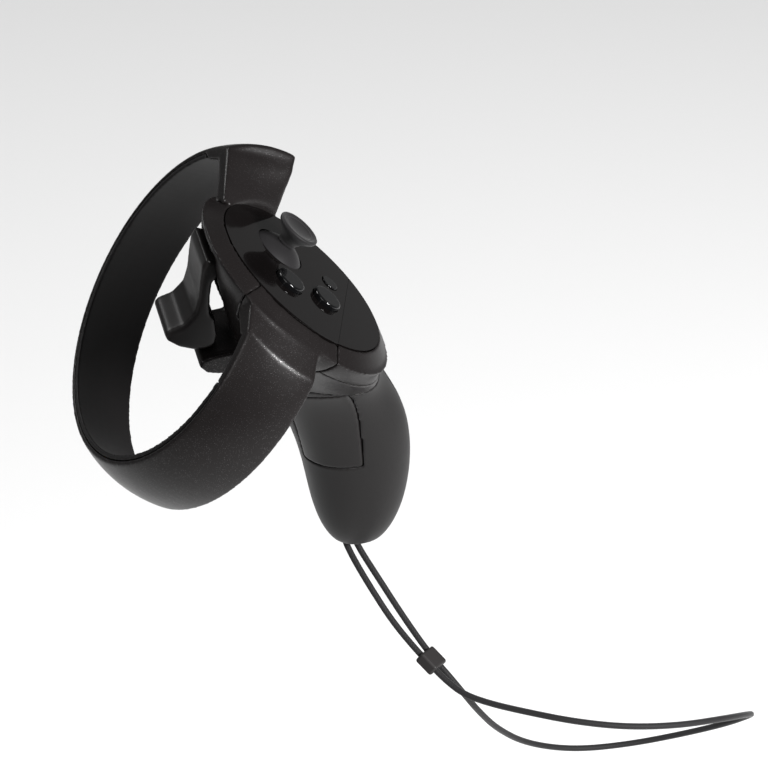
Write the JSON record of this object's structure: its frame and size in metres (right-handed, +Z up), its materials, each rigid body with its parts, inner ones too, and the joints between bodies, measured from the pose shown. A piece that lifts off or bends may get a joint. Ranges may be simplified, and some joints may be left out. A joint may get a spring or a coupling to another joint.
{
  "type": "vr motion controller",
  "caption": "Right-hand tracked motion controller: tilted round face with thumbstick and buttons, flared tracking ring, two triggers, curved handle and wrist lanyard.",
  "frame": {"origin": "centre of the hand grip, on the handle's axis", "axes": "+Z up the handle, +Y forward in the direction the user points, +X to the user's right"},
  "size_m": [0.146, 0.2049, 0.2293],
  "materials": {
    "satin_black": "satin with a fine metallic sparkle",
    "infrared_black": "matt, passes infrared",
    "flex_film": "amber polyimide film",
    "emitter": "clear moulded lens",
    "inner_plastic": "moulded, fine texture",
    "trigger_satin": "smooth satin",
    "steel": "ground pin",
    "spring_steel": "drawn wire",
    "screw_steel": "black zinc",
    "magnet": "nickel plated",
    "face_gloss": "polished",
    "button_gloss": "polished",
    "membrane": "silicone rubber",
    "board": "solder mask",
    "module_plastic": "unfilled nylon",
    "dome_plastic": "fine satin",
    "stick_rubber": "soft touch",
    "handle_plastic": "fine soft-touch texture",
    "cell_jacket": "printed sleeve, no marking",
    "contact": "plated strip",
    "motor_can": "drawn can",
    "cord_braid": "tight round braid",
    "slider_plastic": "moulded, slightly rubbery"
  },
  "bodies": {
    "housing": {"ring_outer_shell": "satin_black", "head_shell": "satin_black", "rear_bezel": "satin_black", "ring_inner_shell": "infrared_black", "ring_circuit": "flex_film", "ring_emitters": "emitter", "trigger_well": "inner_plastic", "index_trigger_pin": "steel", "index_trigger_spring": "spring_steel", "face_plate": "face_gloss", "thumb_rest": "face_gloss", "button_membrane": "membrane", "face_board": "board", "face_screws": "screw_steel", "main_board": "board", "stick_case": "inner_plastic", "stick_spring": "spring_steel", "handle_left": "handle_plastic", "handle_right": "handle_plastic", "case_screws": "screw_steel", "grip_trigger_bracket": "inner_plastic", "grip_trigger_pin": "steel", "grip_trigger_spring": "spring_steel", "cell_tube": "inner_plastic", "battery_cell": "cell_jacket", "contact_plate": "contact", "contact_spring": "spring_steel", "haptic_motor": "motor_can", "anchor_pin": "steel", "lanyard_cord": "cord_braid"},
    "index_trigger": {"index_trigger": "trigger_satin", "index_trigger_magnet": "magnet"},
    "grip_trigger": {"grip_trigger": "trigger_satin", "grip_trigger_magnet": "magnet"},
    "button_a": {"button_a": "button_gloss"},
    "button_b": {"button_b": "button_gloss"},
    "button_home": {"button_home": "button_gloss"},
    "stick_fore_aft": {"stick_yoke": "module_plastic"},
    "stick_side": {"stick_block": "module_plastic"},
    "stick": {"stick_shaft": "steel", "stick_dome": "dome_plastic", "stick_cap": "stick_rubber"},
    "stick_sensor": {"stick_arch": "module_plastic"},
    "battery_cover": {"battery_cover": "handle_plastic", "battery_cover_magnets": "magnet"},
    "lanyard_slider": {"lanyard_slider": "slider_plastic"}
  },
  "joints": [
    {"name": "index_trigger_pull", "type": "hinge", "parent": "housing", "child": "index_trigger", "pos_m": [0, 0.0382, 0.0774], "axis": [-1, 0, 0], "range_deg": [0, 15], "stiffness_Nm_per_rad": 0.08, "springref_deg": -14.32},
    {"name": "grip_trigger_squeeze", "type": "hinge", "parent": "housing", "child": "grip_trigger", "pos_m": [-0.01115, 0.01004, 0.027], "axis": [-0.6691, -0.7431, 0], "range_deg": [0, 7], "stiffness_Nm_per_rad": 0.2, "springref_deg": -5.73},
    {"name": "button_a_press", "type": "slide", "parent": "housing", "child": "button_a", "axis": [0, 0.7071, -0.7071], "range_m": [0, 0.001], "stiffness_N_per_m": 300, "springref_m": -0.001},
    {"name": "button_b_press", "type": "slide", "parent": "housing", "child": "button_b", "axis": [0, 0.7071, -0.7071], "range_m": [0, 0.001], "stiffness_N_per_m": 300, "springref_m": -0.001},
    {"name": "button_home_press", "type": "slide", "parent": "housing", "child": "button_home", "axis": [0, 0.7071, -0.7071], "range_m": [0, 0.0006], "stiffness_N_per_m": 300, "springref_m": -0.001},
    {"name": "stick_tilt_fore_aft", "type": "hinge", "parent": "housing", "child": "stick_fore_aft", "pos_m": [0.0096, 0.02396, 0.06023], "axis": [1, 0, 0], "range_deg": [-18, 18], "stiffness_Nm_per_rad": 0.03},
    {"name": "stick_tilt_side", "type": "hinge", "parent": "stick_fore_aft", "child": "stick_side", "pos_m": [0.0096, 0.02396, 0.06023], "axis": [0, 0.7071, 0.7071], "range_deg": [-18, 18], "stiffness_Nm_per_rad": 0.03},
    {"name": "stick_click", "type": "slide", "parent": "stick_side", "child": "stick", "axis": [0, 0.7071, -0.7071], "range_m": [0, 0.0005], "stiffness_N_per_m": 600, "springref_m": -0.001},
    {"name": "stick_sensor_turn", "type": "hinge", "parent": "housing", "child": "stick_sensor", "pos_m": [0.0096, 0.02396, 0.06023], "axis": [0, 0.7071, 0.7071], "range_deg": [-18.5, 18.5]},
    {"name": "battery_cover_pull", "type": "slide", "parent": "housing", "child": "battery_cover", "axis": [1, 0, 0], "range_m": [0, 0.015]},
    {"name": "lanyard_slider_slide", "type": "slide", "parent": "housing", "child": "lanyard_slider", "axis": [-0.7308, -0.5028, -0.4617], "range_m": [-0.002, 0.002]}
  ],
  "couplings": [
    {"joint": "stick_sensor_turn", "follows": "stick_tilt_side", "ratio": 1}
  ]
}
